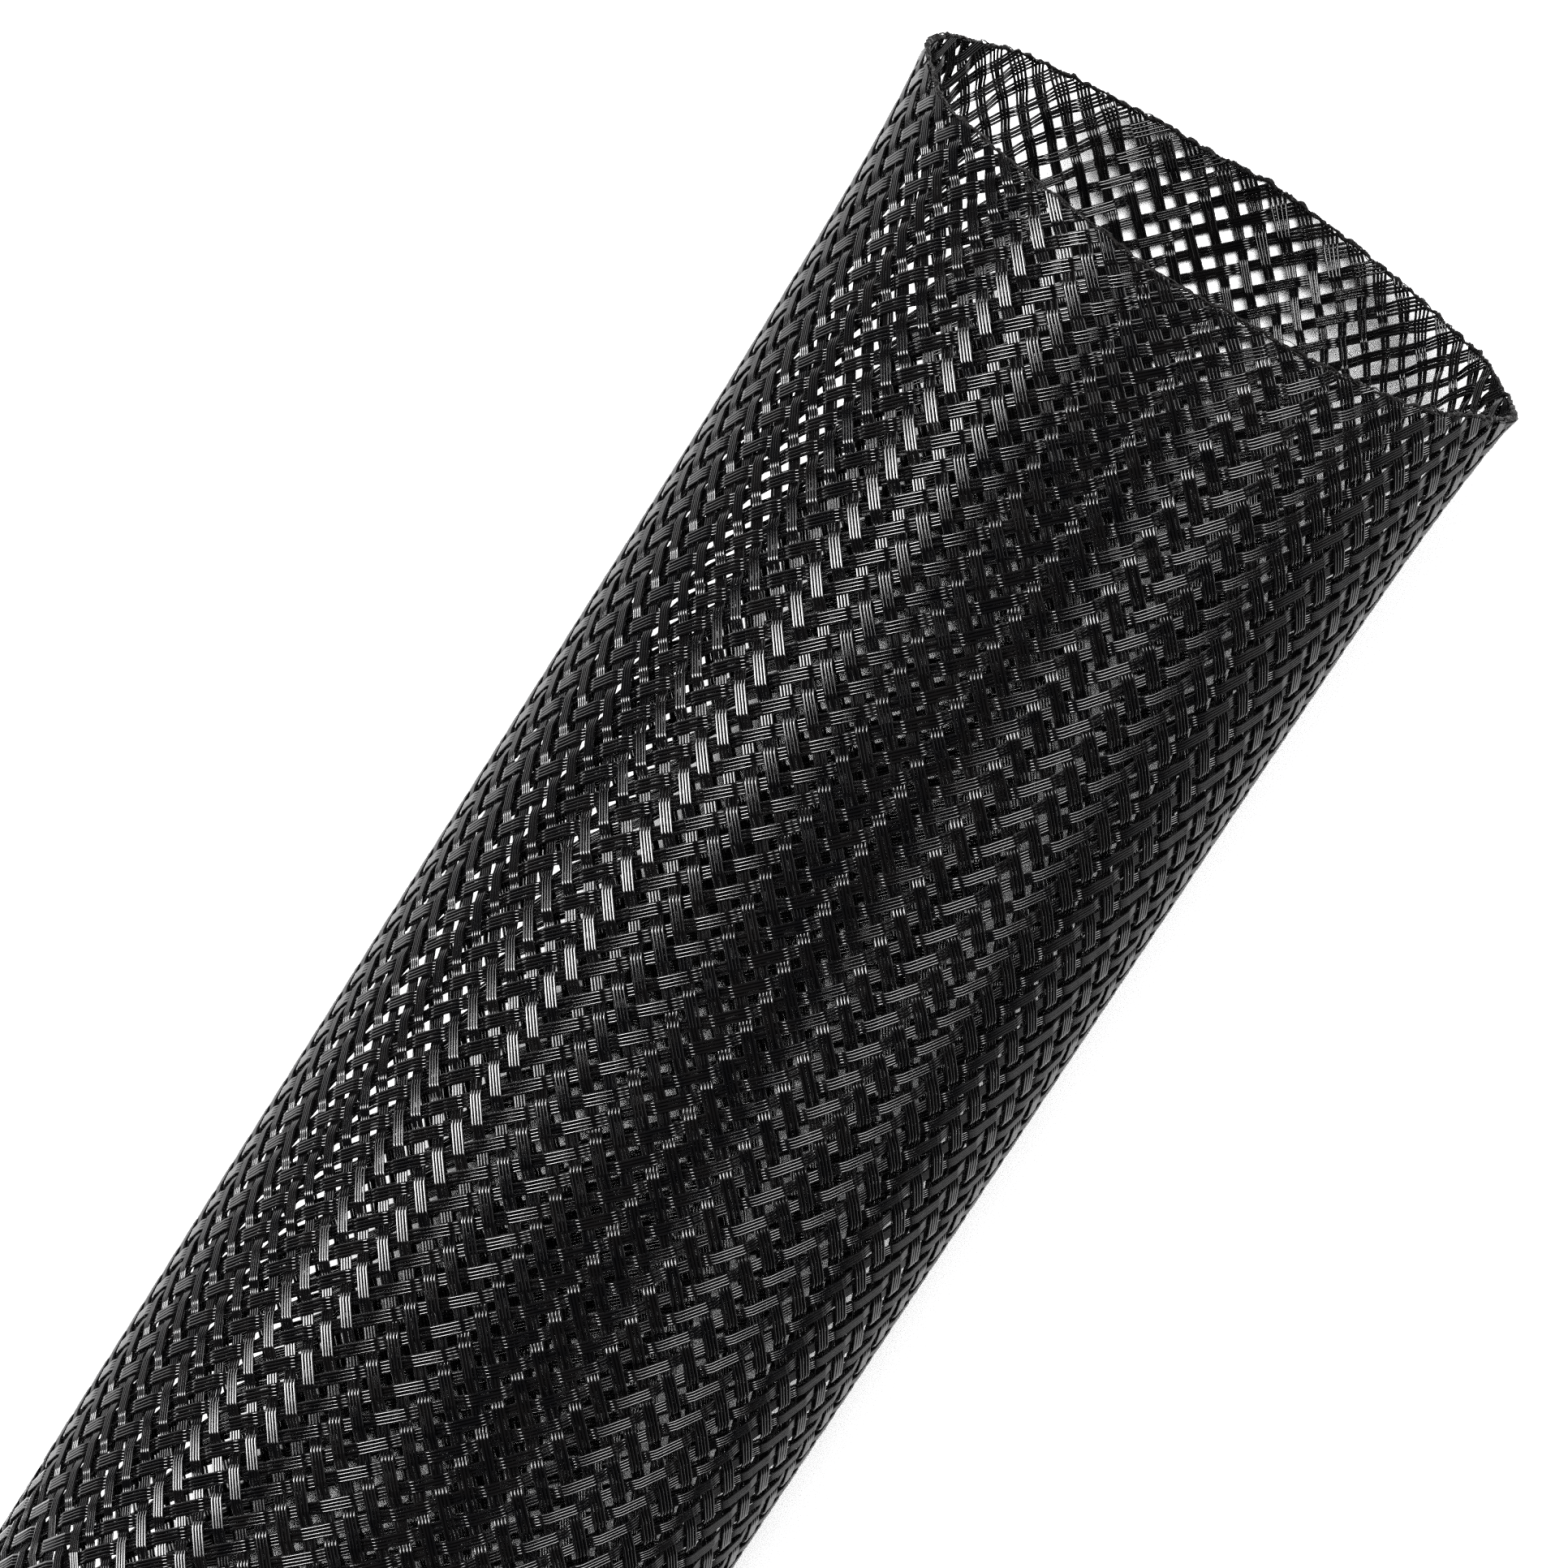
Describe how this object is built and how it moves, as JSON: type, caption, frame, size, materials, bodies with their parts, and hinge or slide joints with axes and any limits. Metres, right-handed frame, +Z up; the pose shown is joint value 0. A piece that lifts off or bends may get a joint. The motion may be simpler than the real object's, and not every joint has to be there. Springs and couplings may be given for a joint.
{
  "type": "braided cable sleeve",
  "caption": "Length of round black monofilament braided sleeve, open at both cut ends, that bundles and shields cables from rubbing.",
  "frame": {"origin": "on the surface that the sleeve lies on, under the middle of its length", "axes": "+X along the tube towards its open mouth, +Z up, +Y across the tube"},
  "size_m": [0.3048, 0.0524, 0.0504],
  "materials": {
    "black_monofilament": "smooth, glossy drawn polyester monofilament, fused to a duller rim at the cut ends"
  },
  "bodies": {
    "root": {"braided_sleeve": "black_monofilament"}
  },
  "joints": []
}
